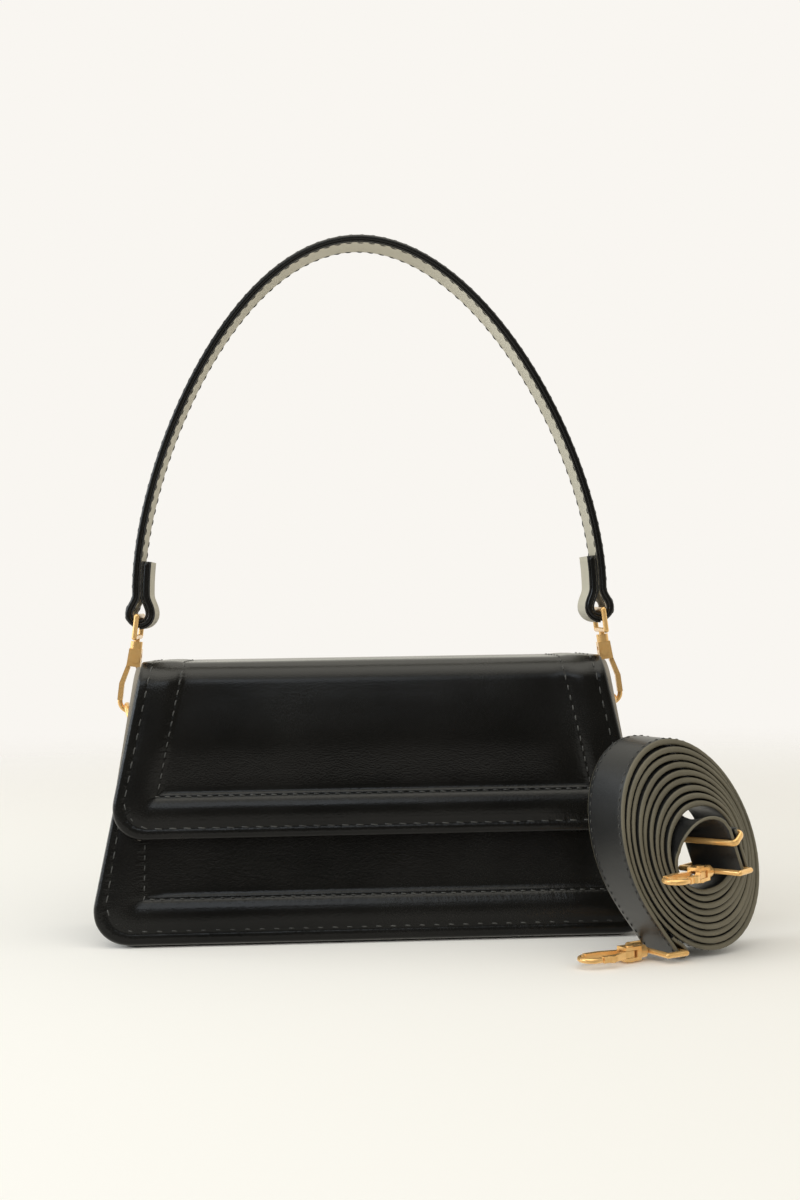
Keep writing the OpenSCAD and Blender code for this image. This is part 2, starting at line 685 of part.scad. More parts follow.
echo(length_of_the_rolled_strap = total(roll_steps));

module at_roll() {
    translate([roll_x, -roll_front, 0]) rotate([0, 0, roll_turn]) children();
}
module shoulder_strap() {
    n = len(roll_line);
    pts = [for (i = [0:n - 1]) each ring_at(i)];
    sides = [for (i = [0:n - 2]) for (k = [0:3]) let (a = 4 * i + k, b = 4 * i + (k + 1) % 4)
        each [[a, a + 4, b], [b, a + 4, b + 4]]];
    e = 4 * (n - 1);
    color(black) at_roll() polyhedron(pts, concat(sides, [[0, 1, 2], [0, 2, 3]],
        [[e, e + 2, e + 1], [e, e + 3, e + 2]]), convexity = 20);
}

// A metal loop round both layers of the strap's inner end
module strap_slider() {
    wall = 1;
    w = band_w + 2 * seam_gap;
    h = 2 * fold_line_r + strap_t + 2 * seam_gap;
    color(gold) at_inner_end(run_from + 4 * run_d + fold_line_r * run_n) rotate([0, -run_a, 0])
        difference() {
            cube([h + 2 * wall, w + 2 * wall, slider_l], center = true);
            cube([h, w, slider_l + 2], center = true);
        }
}

module at_floor_hook() {
    at_roll() translate([floor_eye[0] - hook_l, 0, floor_eye_z]) rotate([0, 90, 0]) children();
}
module at_inner_hook() {
    at_inner_end(inner_eye - [hook_l, 0]) rotate([0, 90, 0]) children();
}
module left_hook_eye() { at_left_hook() hook_eye(); }
module right_hook_eye() { at_right_hook() hook_eye(); }
module floor_hook_eye() { at_floor_hook() hook_eye(); }
module inner_hook_eye() { at_inner_hook() hook_eye(); }
module left_hook_claw() { at_left_hook() hook_claw(); }
module right_hook_claw() { at_right_hook() hook_claw(); }
module floor_hook_claw() { at_floor_hook() rotate([0, 0, 90]) hook_claw(); }
module inner_hook_claw() { at_inner_hook() rotate([0, 0, 90]) hook_claw(); }
module left_hook_rivet() { at_left_hook() hook_rivet(); }
module right_hook_rivet() { at_right_hook() hook_rivet(); }
module floor_hook_rivet() { at_floor_hook() rotate([0, 0, 90]) hook_rivet(); }
module inner_hook_rivet() { at_inner_hook() rotate([0, 0, 90]) hook_rivet(); }
module left_hook_gate() { at_left_hook() hook_gate(); }
module right_hook_gate() { at_right_hook() hook_gate(); }
module floor_hook_gate() { at_floor_hook() rotate([0, 0, 90]) hook_gate(); }
module inner_hook_gate() { at_inner_hook() rotate([0, 0, 90]) hook_gate(); }
module left_hook_spring() { at_left_hook() hook_spring(); }
module right_hook_spring() { at_right_hook() hook_spring(); }
module floor_hook_spring() { at_floor_hook() rotate([0, 0, 90]) hook_spring(); }
module inner_hook_spring() { at_inner_hook() rotate([0, 0, 90]) hook_spring(); }

front_panel();
front_border();
front_board();
back_panel();
back_board();
base_panel();
base_board();
left_gusset();
right_gusset();
lining();
slip_pocket();
body_magnet();
body_magnet_washer();
left_ring_tab();
right_ring_tab();
flap_panel();
flap_border();
flap_board();
flap_lining();
flap_magnet();
flap_magnet_washer();
left_d_ring();
right_d_ring();
handle_strap();
handle_lining();
left_tab_facing();
right_tab_facing();
left_hook_eye();
right_hook_eye();
left_hook_claw();
left_hook_rivet();
left_hook_spring();
left_hook_gate();
right_hook_claw();
right_hook_rivet();
right_hook_spring();
right_hook_gate();
shoulder_strap();
strap_slider();
floor_hook_eye();
floor_hook_claw();
floor_hook_rivet();
floor_hook_spring();
floor_hook_gate();
inner_hook_eye();
inner_hook_claw();
inner_hook_rivet();
inner_hook_spring();
inner_hook_gate();
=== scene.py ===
import math
import random

import bmesh
import bpy
from mathutils import Matrix, Vector


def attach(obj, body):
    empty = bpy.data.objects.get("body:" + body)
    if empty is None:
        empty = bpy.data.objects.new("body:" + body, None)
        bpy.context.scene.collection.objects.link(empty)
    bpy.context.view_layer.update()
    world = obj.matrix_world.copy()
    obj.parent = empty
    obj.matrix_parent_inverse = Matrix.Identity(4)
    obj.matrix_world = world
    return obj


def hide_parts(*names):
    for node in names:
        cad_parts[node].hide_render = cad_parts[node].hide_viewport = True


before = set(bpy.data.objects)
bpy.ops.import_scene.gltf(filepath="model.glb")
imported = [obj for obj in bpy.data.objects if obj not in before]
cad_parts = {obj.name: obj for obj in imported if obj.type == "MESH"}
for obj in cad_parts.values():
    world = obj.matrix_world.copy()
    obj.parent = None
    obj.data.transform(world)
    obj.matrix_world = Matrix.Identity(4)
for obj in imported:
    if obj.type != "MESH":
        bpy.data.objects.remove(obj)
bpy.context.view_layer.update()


# Front panel: smooth black leather cut to a trapezium with rounded lower corners. It is padded
# along its sides and its bottom, turned round the edge, and sewn on both sides of the padding.
# Sizes of the bag are in millimetres, and MM makes them metres. All else is in metres.
random.seed(7)
MM = 0.001
HINGE_Z = 105.0
BASE_W = 220.0
BASE_D = 53.0
TOP_W = 177.0
TOP_D = 31.0
LEAN = math.atan((BASE_D - TOP_D) / 2 / HINGE_Z)
SIN_LEAN = math.sin(LEAN)
COS_LEAN = math.cos(LEAN)


class Tree:
    def __init__(self, name):
        self.mat = bpy.data.materials.new(name)
        self.mat.use_nodes = True
        self.nt = self.mat.node_tree
        self.nt.nodes.clear()
        self.out = self.add("ShaderNodeOutputMaterial")
        self.bsdf = self.add("ShaderNodeBsdfPrincipled")
        self.link(self.bsdf.outputs[0], self.out.inputs[0])
        self.coord = self.add("ShaderNodeTexCoord").outputs["Object"]

    def add(self, kind, **props):
        node = self.nt.nodes.new(kind)
        for key, value in props.items():
            setattr(node, key, value)
        return node

    def link(self, source, target):
        self.nt.links.new(source, target)

    def put(self, socket, value):
        if isinstance(value, bpy.types.NodeSocket):
            self.link(value, socket)
        else:
            socket.default_value = value

    def noise(self, scale, detail=2.0, rough=0.5, vector=None):
        node = self.add("ShaderNodeTexNoise")
        node.inputs["Scale"].default_value = scale
        node.inputs["Detail"].default_value = detail
        node.inputs["Roughness"].default_value = rough
        self.link(vector or self.coord, node.inputs["Vector"])
        return node.outputs["Fac"]

    def cells(self, scale, vector=None):
        node = self.add("ShaderNodeTexVoronoi")
        node.inputs["Scale"].default_value = scale
        self.link(vector or self.coord, node.inputs["Vector"])
        return node.outputs["Distance"]

    def math(self, operation, first, second=0.0):
        node = self.add("ShaderNodeMath", operation=operation)
        self.put(node.inputs[0], first)
        self.put(node.inputs[1], second)
        return node.outputs[0]

    def remap(self, value, *limits):
        node = self.add("ShaderNodeMapRange")
        self.put(node.inputs[0], value)
        for i, limit in enumerate(limits):
            node.inputs[i + 1].default_value = limit
        return node.outputs[0]

    def mix(self, share, first, second):
        node = self.add("ShaderNodeMix", data_type="RGBA")
        self.put(node.inputs[0], share)
        self.put(node.inputs[6], first)
        self.put(node.inputs[7], second)
        return node.outputs[2]

    def stretch(self, *scale):
        node = self.add("ShaderNodeMapping")
        node.inputs["Scale"].default_value = scale
        self.link(self.coord, node.inputs["Vector"])
        return node.outputs["Vector"]

    def attribute(self, name):
        return self.add("ShaderNodeAttribute", attribute_name=name).outputs["Fac"]

    def bump(self, height, strength, distance, normal=None):
        node = self.add("ShaderNodeBump")
        node.inputs["Strength"].default_value = strength
        node.inputs["Distance"].default_value = distance
        self.link(height, node.inputs["Height"])
        if normal:
            self.link(normal, node.inputs["Normal"])
        return node.outputs[0]

    def finish(self, **values):
        for key, value in values.items():
            self.put(self.bsdf.inputs[key.replace("_", " ")], value)
        return self.mat


def leather(name, dark, light, rough=(0.34, 0.46), grain=1.0, seams=()):
    tree = Tree(name)
    patches = tree.noise(22, 3)
    fine = tree.noise(2400, 2)
    color = tree.mix(tree.remap(patches, 0.35, 0.68, 0, 1), (*dark, 1), (*light, 1))
    roughness = tree.math("ADD", tree.remap(patches, 0.3, 0.7, *rough),
                          tree.remap(fine, 0.3, 0.7, -0.03, 0.03))
    normal = tree.bump(tree.noise(60, 2), 0.25, 0.0006)
    normal = tree.bump(tree.cells(1500), 0.10 * grain, 0.0003, normal)
    normal = tree.bump(fine, 0.06 * grain, 0.0002, normal)
    if seams:
        inset = tree.attribute("inset")
        gathers = tree.add("ShaderNodeCombineXYZ")
        tree.link(tree.math("MULTIPLY", tree.attribute("run"), 420), gathers.inputs[0])
        tree.link(tree.math("MULTIPLY", inset, 60), gathers.inputs[1])
        folds = tree.noise(1, 2, 0.5, gathers.outputs[0])
        for seam_inset in seams:
            away = tree.math("ABSOLUTE", tree.math("SUBTRACT", inset, seam_inset * MM))
            near = tree.remap(away, 0, 3.2 * MM, 1, 0)
            normal = tree.bump(tree.math("MULTIPLY", folds, near), 0.3, 0.0010, normal)
    return tree.finish(Base_Color=color, Roughness=roughness, Normal=normal,
                       Specular_IOR_Level=0.42)


BLACK = ((0.0030, 0.0029, 0.0025), (0.0058, 0.0054, 0.0046), (0.19, 0.27))
padded_black = leather("padded_leather", *BLACK, seams=(4.2, 16.3))
thread = leather("black_thread", (0.020, 0.020, 0.0195), (0.062, 0.062, 0.058),
                 rough=(0.15, 0.23))


def half_w(z, top=TOP_W):
    return BASE_W / 2 - min(z, HINGE_Z) * (BASE_W - top) / 2 / HINGE_Z


def smoothstep(low, high, x):
    share = max(0.0, min(1.0, (x - low) / (high - low)))
    return share * share * (3 - 2 * share)


def curve_through(keys, x):
    for (x0, y0), (x1, y1) in zip(keys, keys[1:]):
        if x <= x1:
            return y0 + (y1 - y0) * smoothstep(x0, x1, x)
    return keys[-1][1]


def finished(name, bm, materials, body):
    bm.normal_update()
    bmesh.ops.recalc_face_normals(bm, faces=bm.faces)
    for face in bm.faces:
        face.smooth = True
    mesh = bpy.data.meshes.new(name)
    bm.to_mesh(mesh)
    bm.free()
    for material in materials:
        mesh.materials.append(material)
    made = bpy.data.objects.new(name, mesh)
    bpy.context.scene.collection.objects.link(made)
    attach(made, body)
    return made


# A panel is a grid that follows its borders round the lower corners. Each spot holds the place
# across and up the panel, the distance from the edge, and the length run along the border.
def side_spot(sign, inset, s, start, corner, side, widen):
    up = s - start
    across = inset * widen(s)
    height = up
    from_edge = inset
    run = corner - up
    if inset < corner and up < corner:
        from_side = corner - inset
        from_base = corner - up
        reach = max(from_side, from_base)
        if from_side >= from_base:
            angle = math.pi / 4 * from_base / from_side
        else:
            angle = math.pi / 4 * (2 - from_side / from_base)
        across = (corner - reach * math.cos(angle)) * widen(s)
        height = corner - reach * math.sin(angle)
        from_edge = corner - reach
        run = corner * angle
    elif up < inset:
        from_edge = up
        run = corner * math.pi / 2 + inset - corner
    return sign * (side(start + height) - across), start + height, from_edge, run


def middle_spot(share, s, start, corner, border, side, widen):
    reach = side(s) - border * widen(s)
    inwards = reach * (1 - abs(share))
    run = corner * math.pi / 2 + border - corner + inwards
    return share * reach, s, min(s - start, border + inwards), run


MIDDLE_COLUMNS = 26


def panel(name, rows, insets, corner, side, widen, place, lift, back, body):
    start = rows[0]
    shares = [-1 + 2 * (i + 1) / (MIDDLE_COLUMNS + 1) for i in range(MIDDLE_COLUMNS)]
    spots = []
    for s in rows:
        spots += [side_spot(-1, inset, s, start, corner, side, widen) for inset in insets]
        spots += [middle_spot(share, s, start, corner, insets[-1], side, widen)
                  for share in shares]
        spots += [side_spot(1, inset, s, start, corner, side, widen)
                  for inset in reversed(insets)]
    bm = bmesh.new()
    run_layer = bm.verts.layers.float.new("run")
    inset_layer = bm.verts.layers.float.new("inset")
    number = bm.verts.layers.int.new("number")
    bmesh.ops.create_grid(bm, x_segments=len(spots) // len(rows) - 1,
                          y_segments=len(rows) - 1, size=1)
    for i, vert in enumerate(bm.verts):
        vert[number] = i
        vert[inset_layer] = spots[i][2] * MM
        vert[run_layer] = spots[i][3] * MM
    grown = bmesh.ops.extrude_face_region(bm, geom=bm.faces[:])["geom"]
    under = {item for item in grown if isinstance(item, bmesh.types.BMVert)}
    for vert in bm.verts:
        x, s, from_edge, run = spots[vert[number]]
        height = back if vert in under else lift(from_edge, s)
        vert.co = Vector(place(x, s, height)) * MM
    bm.verts.layers.int.remove(number)
    return finished(name, bm, [padded_black], body)


# A seam runs down one side of a panel, round the corners and up the other, at an inset. It is a
# list of points on the leather, each with the direction that faces out of it.
def seam(inset, start, end, corner, side, widen, place, lift, bottom_inset=None):
    bottom_inset = bottom_inset or inset
    radius = max(0.0, corner - inset)
    low = start + (corner if radius else bottom_inset)
    points = []
    for i in range(121):
        s = end + (low - end) * i / 120
        points.append((side(s) - inset * widen(s), s))
    for i in range(1, 13):
        angle = math.pi / 2 * i / 12
        across = corner - radius * math.cos(angle) if radius else inset
        drop = (radius + inset - bottom_inset) * math.sin(angle) if radius else 0
        points.append((side(low) - across * widen(low), low - drop))
    x0, z0 = points[-1]
    points += [(x0 * (1 - i / 60), z0) for i in range(1, 61)]
    points += [(-x, s) for x, s in reversed(points[:-1])]
    line = []
    for x, s in points:
        on_leather = Vector(place(x, s, lift(inset, s)))
        above_it = Vector(place(x, s, lift(inset, s) + 1))
        line.append((on_leather, (above_it - on_leather).normalized()))
    return line


def stitch_shape():
    bm = bmesh.new()
    bmesh.ops.create_cone(bm, cap_ends=True, segments=6, radius1=1, radius2=1, depth=1)
    long_edges = [edge for edge in bm.edges
                  if abs(edge.verts[0].co.z - edge.verts[1].co.z) > 0.5]
    bmesh.ops.subdivide_edges(bm, edges=long_edges, cuts=3)
    mesh = bpy.data.meshes.new("stitch_shape")
    bm.to_mesh(mesh)
    bm.free()
    return mesh


def marks_along(line, pitch):
    marks = []
    distance = 0.0
    for (start, out_start), (end, out_end) in zip(line, line[1:]):
        step = (end - start).length
        while step and distance <= step:
            share = distance / step
            marks.append((start.lerp(end, share), out_start.lerp(out_end, share).normalized(),
                          (end - start).normalized()))
            distance += pitch
        distance -= step
    return marks


# Each stitch is a short thread, raised near one end and drawn into the leather at the other.
def stitches(name, seams, material, body, length=0.62, radius=0.34):
    shape = stitch_shape()
    bm = bmesh.new()
    for line, pitch in seams:
        for middle, out, along in marks_along(line, pitch):
            side = along.cross(out).normalized()
            skew = side * random.uniform(-0.05, 0.05)
            made_before = len(bm.verts)
            bm.from_mesh(shape)
            bm.verts.ensure_lookup_table()
            for vert in bm.verts[made_before:]:
                rise, reach, share = vert.co
                height = 0.20 - 1.5 * (share - 0.16) ** 2
                centre = (middle + along * share * pitch * length + out * height + skew
                          + side * share * 0.25)
                thick = radius * (0.9 + 0.3 * share - (2 * share) ** 4 * 0.35)
                vert.co = (centre + side * thick * reach + out * thick * 0.8 * rise) * MM
    bpy.data.meshes.remove(shape)
    return finished(name, bm, [material], body)


def front_place(x, s, height):
    return (x, -BASE_D / 2 + s * SIN_LEAN - height * COS_LEAN, s * COS_LEAN + height * SIN_LEAN)


BORDER_GRID_W = 18.2
FRONT_BORDER_W = 17.4
FRONT_FIELD_HALF_W = 86.5
FRONT_START = 0.8
FRONT_CORNER = 16
LEATHER_BACK = -1.6


def front_widen(s):
    return (half_w(max(s, 19)) - FRONT_FIELD_HALF_W) / BORDER_GRID_W


# Height of the leather over the padding, from the edge inwards: the turned edge, the dip of the
# outer seam, the puffed border, and the groove of the inner seam.
PADDING = [(0, 0.15), (0.35, 0.95), (1.1, 1.55), (2.4, 1.75), (3.5, 1.6), (4.2, 1.35),
           (5.0, 1.65), (7, 2.2), (9.8, 2.4), (12.5, 2.15), (14.8, 1.35), (16.3, 0.55),
           (16.9, 0.6), (17.3, 0.45), (17.7, 0.22), (18.6, 0.08), (22, 0)]


def front_lift(from_edge, s):
    scaled = from_edge * FRONT_BORDER_W / BORDER_GRID_W
    return curve_through(PADDING, scaled) * (1 - smoothstep(95.5, 98.5, s)) + 0.02


INSETS = [0, 0.15, 0.35, 0.7, 1.1, 1.7, 2.4, 3.1, 3.6, 4.0, 4.4, 4.8, 5.4, 6.2, 7.2, 8.5, 10, 11.5,
          13, 14.3, 15.2, 15.9, 16.6, 17.1, 17.5, 17.8, BORDER_GRID_W]
corner_rows = [FRONT_START + inset for inset in INSETS]
front_rows = corner_rows + [19.6, 20.5, 22] + [22 + i * 73.5 / 30 for i in range(1, 31)]
front_rows += [96.2, 97, 98, 99.5, 101, 101.8]
front_form = (FRONT_CORNER, half_w, front_widen, front_place, front_lift)
front = panel("front_leather", front_rows, INSETS, *front_form, LEATHER_BACK, "bag")
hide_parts("front_panel", "front_border")
front_thread = stitches("front_stitches", [
    (seam(4.3, FRONT_START, 96, *front_form, bottom_inset=5.2), 5.5),
    (seam(17.0, FRONT_START, 96, *front_form), 3.8)], thread, "bag")


# Flap: one leather skin from the hinge at the back, over the top with a soft fold and down the
# front. Its border is padded and sewn as the front's is, on three sides, and the padding runs
# out over the fold. FLAP_L is the length down the front.
FLAP_L = 58.0
FLAP_CORNER = 15
FLAP_R = 9.4
FLAP_BACK = -2.55
FOLD_INNER_R = 6
FLAP_OFF = 3.4
FOLD_Z = 97.3
FOLD_Y = -BASE_D / 2 + FOLD_Z * math.tan(LEAN) + 3.2 / COS_LEAN
FOLD_ARC = FLAP_R * (math.pi / 2 - LEAN)
HINGE_Y = 14.2
HINGE_R = 1.7
FLAP_END = FLAP_L + FOLD_ARC + HINGE_Y - FOLD_Y
PADDING_END = FLAP_END - 9


def flap_place(x, s, height):
    radius = FOLD_INNER_R + FLAP_OFF + height
    if s <= FLAP_L:
        down = FLAP_L - s
        return (x, FOLD_Y - radius * COS_LEAN - down * SIN_LEAN,
                FOLD_Z + radius * SIN_LEAN - down * COS_LEAN)
    if s <= FLAP_L + FOLD_ARC:
        angle = math.pi - LEAN - (s - FLAP_L) / FLAP_R
        return (x, FOLD_Y + radius * math.cos(angle), FOLD_Z + radius * math.sin(angle))
    if s <= FLAP_END:
        return (x, FOLD_Y + s - FLAP_L - FOLD_ARC, FOLD_Z + radius)
    angle = (s - FLAP_END) / HINGE_R
    turn = max(0.3, HINGE_R + min(0.0, height))
    return (x, HINGE_Y + turn * math.sin(angle), HINGE_Z + turn * math.cos(angle))


def flap_side(s):
    x, y, z = flap_place(0, s, 0)
    if s <= FLAP_L + FOLD_ARC:
        return half_w(z)
    return TOP_W / 2 - 3.5 * min(1.0, (y - FOLD_Y) / (HINGE_Y - FOLD_Y))


def unchanged(s):
    return 1.0


FLAP_PADDING = [(inset if inset < 16 else inset - 0.4, height) for inset, height in PADDING]


def flap_lift(from_edge, s):
    keep = 1 - smoothstep(FLAP_END - 8.5, FLAP_END - 5.5, s)
    over = 1 - 0.72 * smoothstep(FLAP_L - 2, FLAP_L + 0.7 * FOLD_ARC, s)
    padding = curve_through(FLAP_PADDING, from_edge) * keep * over
    soft = 0.35 * smoothstep(17, 45, from_edge) * (1 - smoothstep(FLAP_L - 8, FLAP_L + 4, s))
    bulge = 1.5 * smoothstep(14, 40, s) * (1 - smoothstep(FLAP_L - 26, FLAP_L + 5, s))
    edge = min(0.0, -0.9 * (1 - smoothstep(0, 0.8, from_edge)))
    return padding + soft + bulge * smoothstep(2, 20, from_edge) + edge * (1 - keep)


flap_insets = INSETS[:-6] + [15.8, 16.2, 16.6, 16.9, 17.3, BORDER_GRID_W]
flap_rows = flap_insets + [19.5, 21.5] + [21.5 + i * 36.5 / 16 for i in range(1, 17)]
flap_rows += [FLAP_L + FOLD_ARC * i / 14 for i in range(1, 15)]
flap_rows += [FLAP_L + FOLD_ARC + (FLAP_END - FLAP_L - FOLD_ARC) * i / 18 for i in range(1, 19)]
flap_rows += [FLAP_END + HINGE_R * math.pi * i / 6 for i in range(1, 7)]
flap_form = (FLAP_CORNER, flap_side, unchanged, flap_place, flap_lift)
flap = panel("flap_leather", flap_rows, flap_insets, *flap_form, FLAP_BACK, "flap")
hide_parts("flap_panel", "flap_border")
flap_thread = stitches("flap_stitches", [
    (seam(4.2, 0, PADDING_END, *flap_form), 5.4),
    (seam(16.1, 0, PADDING_END, *flap_form), 4.0)], thread, "flap")


# Back panel: plain smooth leather, a little narrower at the top than the front. Its edges are
# turned and held by one row of stitches, and its top edge ends just below the flap's hinge.
BACK_TOP_W = 170.0
BACK_TURN = [(0, -0.7), (0.5, -0.1), (1.4, 0.3), (3, 0.35), (4.2, 0.05), (5.4, 0.35), (10, 0.45),
             (30, 0.5)]


def back_place(x, s, height):
    x, y, z = front_place(x, s, height)
    return (x, -y, z)


def back_side(s):
    return half_w(s, BACK_TOP_W)


def back_lift(from_edge, s):
    return curve_through(BACK_TURN, min(from_edge, 103.2 - s))


back_rows = corner_rows + [19.6, 22] + [22 + i * 73.5 / 24 for i in range(1, 25)]
back_rows += [97, 98.4, 99.2, 100, 101, 101.8, 102.3, 102.7, 103.2, 103.6]
back_form = (FRONT_CORNER, back_side, unchanged, back_place, back_lift)
back = panel("back_leather", back_rows, INSETS, *back_form, LEATHER_BACK, "bag")
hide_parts("back_panel")
back_thread = stitches("back_stitches", [(seam(4.2, FRONT_START, 99, *back_form), 5.4)],
                       thread, "bag")


# Ends, base and ring tabs: strips of the same black leather between the two panels, with a tab
# on each end that holds its ring. These are the frame's own solids.
black = leather("black_leather", *BLACK)


def dress(material, *nodes):
    for node in nodes:
        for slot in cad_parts[node].material_slots:
            slot.link = "OBJECT"
            slot.material = material


dress(black, "base_panel", "left_gusset", "right_gusset", "left_ring_tab", "right_ring_tab")


# Boards: grey pressed board that stiffens the front, the back, the base and the flap, glued
# between the leather and the lining. These are the frame's own solids.
board_grey = leather("board", (0.2, 0.18, 0.15), (0.28, 0.25, 0.21), rough=(0.8, 0.9))
dress(board_grey, "front_board", "back_board", "base_board", "flap_board")


# Lining, pocket and flap lining: thin woven black cloth, glued and sewn in. These are the
# frame's own solids.
def cloth(name, color):
    tree = Tree(name)
    threads = tree.math("MULTIPLY", tree.cells(1700, tree.stretch(1, 1, 0.5)),
                        tree.cells(1700, tree.stretch(0.5, 0.5, 1)))
    lighter = [channel * 1.6 for channel in color]
    tone = tree.mix(tree.remap(threads, 0, 0.3, 0, 1), (*lighter, 1), (*color, 1))
    return tree.finish(Base_Color=tone, Roughness=0.85, Normal=tree.bump(threads, 0.5, 0.0004))


lining_cloth = cloth("lining_cloth", (0.012, 0.012, 0.014))
dress(lining_cloth, "lining", "slip_pocket", "flap_lining")


# Magnetic snap: a gold-plated half on the bag and one on the flap, each clinched to a steel
# plate behind it. These are the frame's own solids.
def metal(name, color, rough, solid=1.0):
    tree = Tree(name)
    wear = tree.noise(300, 3)
    worn = (color[0] * 0.93, color[1] * 0.88, color[2] * 0.8, 1)
    tone = tree.mix(tree.remap(wear, 0.4, 0.7, 0, 1), (*color, 1), worn)
    return tree.finish(Base_Color=tone, Metallic=solid,
                       Roughness=tree.remap(wear, 0.3, 0.7, rough - 0.05, rough + 0.06),
                       Normal=tree.bump(tree.noise(900, 2), 0.03, 0.0002))


gold = metal("pale_gold", (0.90, 0.56, 0.22), 0.20, solid=0.6)
steel = metal("steel", (0.5, 0.5, 0.5), 0.3)
dress(gold, "body_magnet", "flap_magnet")
dress(steel, "body_magnet_washer", "flap_magnet_washer")


# Handle: an arched band of black leather with a pale lining on its inner face. Each end is
# folded through the eye of its hook and shows a pale facing, and both edges are painted black.
HANDLE_W = 20
HANDLE_T = 2.4
PALE_W = 19.4
PALE_T = 0.7
LEG_X = 91.3
LEG_Z = 133.0
HANDLE_TOP = 272.0
ARCH_SHOULDER = 50
SWAY = 3
SWING_X = 95.3
SWING_Z = 87.5
HOOK_L = 37.3
EYE_X = 90.6
EYE_Z = SWING_Z + HOOK_L * math.cos(math.asin((SWING_X - EYE_X) / HOOK_L))
LOOP_R = 4.3
LOOP_LEAN = 0.8
LOOP_X = EYE_X - LOOP_LEAN
LOOP_Z = EYE_Z + math.sqrt((LOOP_R - HANDLE_T / 2 - PALE_T - 1.1) ** 2 - LOOP_LEAN ** 2)
END_GAP = HANDLE_T + 2 * PALE_T + 0.15
FOLDED_FRAMES = 33
FACE_POINTS = 9

pale = leather("pale_lining", (0.45, 0.42, 0.33), (0.55, 0.515, 0.42), rough=(0.6, 0.75))
edge_paint = leather("edge_paint", (0.010, 0.010, 0.010), (0.018, 0.017, 0.016),
                     rough=(0.25, 0.35), grain=0.3)
handle_thread = leather("handle_thread", (0.004, 0.004, 0.004), (0.012, 0.012, 0.012),
                        rough=(0.3, 0.4))


def swept(rings, closed=False):
    bm = bmesh.new()
    number = bm.verts.layers.int.new("number")
    loop = [bm.verts.new(point * MM) for point in rings[0]]
    for i, vert in enumerate(loop):
        vert[number] = i
    edges = [bm.edges.new(pair) for pair in zip(loop[1:] + loop[:1], loop)]
    for ring in rings[1:] + rings[:1] * closed:
        grown = bmesh.ops.extrude_edge_only(bm, edges=edges)["geom"]
        edges = [item for item in grown if isinstance(item, bmesh.types.BMEdge)]
        for item in grown:
            if isinstance(item, bmesh.types.BMVert):
                item.co = ring[item[number]] * MM
    if closed:
        bmesh.ops.remove_doubles(bm, verts=bm.verts, dist=0.001 * MM)
    else:
        bmesh.ops.edgeloop_fill(bm, edges=[edge for edge in bm.edges if edge.is_boundary])
    return bm, number


# A band has rounded edges and is swept along frames, each a centre, a width direction and a
# thickness direction. swell scales and shifts the thickness in each frame.
def band(name, frames, width, thick, material, body, crown=0.12, edge=5, centre=0.0,
         edge_material=None, swell=None):
    half_t = thick / 2
    flat = width / 2 - half_t
    across = [1 - 2 * i / (FACE_POINTS - 1) for i in range(FACE_POINTS)]
    section = [(flat * share, half_t + crown * (1 - share * share)) for share in across]
    for i in range(1, edge):
        angle = math.pi / 2 + math.pi * i / edge
        section.append((-flat + half_t * math.cos(angle), half_t * math.sin(angle)))
    section += [(-flat * share, -half_t) for share in across]
    for i in range(1, edge):
        angle = -math.pi / 2 + math.pi * i / edge
        section.append((flat + half_t * math.cos(angle), half_t * math.sin(angle)))
    swell = swell or [(1.0, centre)] * len(frames)
    bm, number = swept([[middle + wide * u + deep * (v * scale + shift) for u, v in section]
                        for (middle, wide, deep), (scale, shift) in zip(frames, swell)])
    last = len(section) - 1
    first_edge = FACE_POINTS - 1
    second_edge = 2 * first_edge + edge
    if edge_material:
        for face in bm.faces:
            numbers = {vert[number] for vert in face.verts}
            low = last if numbers == {0, last} else min(numbers)
            on_edge = first_edge <= low < first_edge + edge or low >= second_edge
            face.material_index = int(len(numbers) == 2 and on_edge)
    bm.verts.layers.int.remove(number)
    return finished(name, bm, [material, edge_material] if edge_material else [material], body)


def frames_along(points, width_dirs):
    frames = []
    for i, point in enumerate(points):
        along = (points[min(i + 1, len(points) - 1)] - points[max(i - 1, 0)]).normalized()
        deep = along.cross(width_dirs[i]).normalized()
        frames.append((point, deep.cross(along).normalized(), deep))
    return frames


def arch(t):
    top = HANDLE_TOP - HANDLE_T / 2
    corners = [(0, top), (ARCH_SHOULDER, top), (LEG_X, LEG_Z + ARCH_SHOULDER), (LEG_X, LEG_Z)]
    weights = [(1 - t) ** 3, 3 * t * (1 - t) ** 2, 3 * t * t * (1 - t), t ** 3]
    return Vector((sum(weight * x for weight, (x, z) in zip(weights, corners)),
                   sum(weight * z for weight, (x, z) in zip(weights, corners))))


def ease(t):
    return (1 + math.cos(math.pi * t)) / 2


right_half = [arch(i / 72) for i in range(73)]
right_half += [Vector((LEG_X + (LOOP_X + LOOP_R - LEG_X) * ease(1 - i / 12),
                       LOOP_Z + (LEG_Z - LOOP_Z) * (1 - i / 12))) for i in range(1, 12)]
right_half += [Vector((LOOP_X + LOOP_R * math.cos(-math.pi * i / 24),
                       LOOP_Z + LOOP_R * math.sin(-math.pi * i / 24))) for i in range(25)]
right_half += [Vector((LEG_X - END_GAP + (LOOP_X - LOOP_R - LEG_X + END_GAP) * ease(i / 12),
                       LOOP_Z + (LEG_Z - LOOP_Z) * i / 12)) for i in range(1, 12)]
FOLDED_SHARE = 12.5 / ARCH_SHOULDER / 3
for i in range(9):
    t = 1 - i / 8 * FOLDED_SHARE
    down = (arch(t) - arch(t - 0.01)).normalized()
    right_half.append(arch(t) - END_GAP * Vector((-down.y, down.x)))


def swayed(x, z):
    share = max(0.0, (z - LEG_Z) / (HANDLE_TOP - LEG_Z))
    return Vector((x - SWAY * share * share, 0, z))


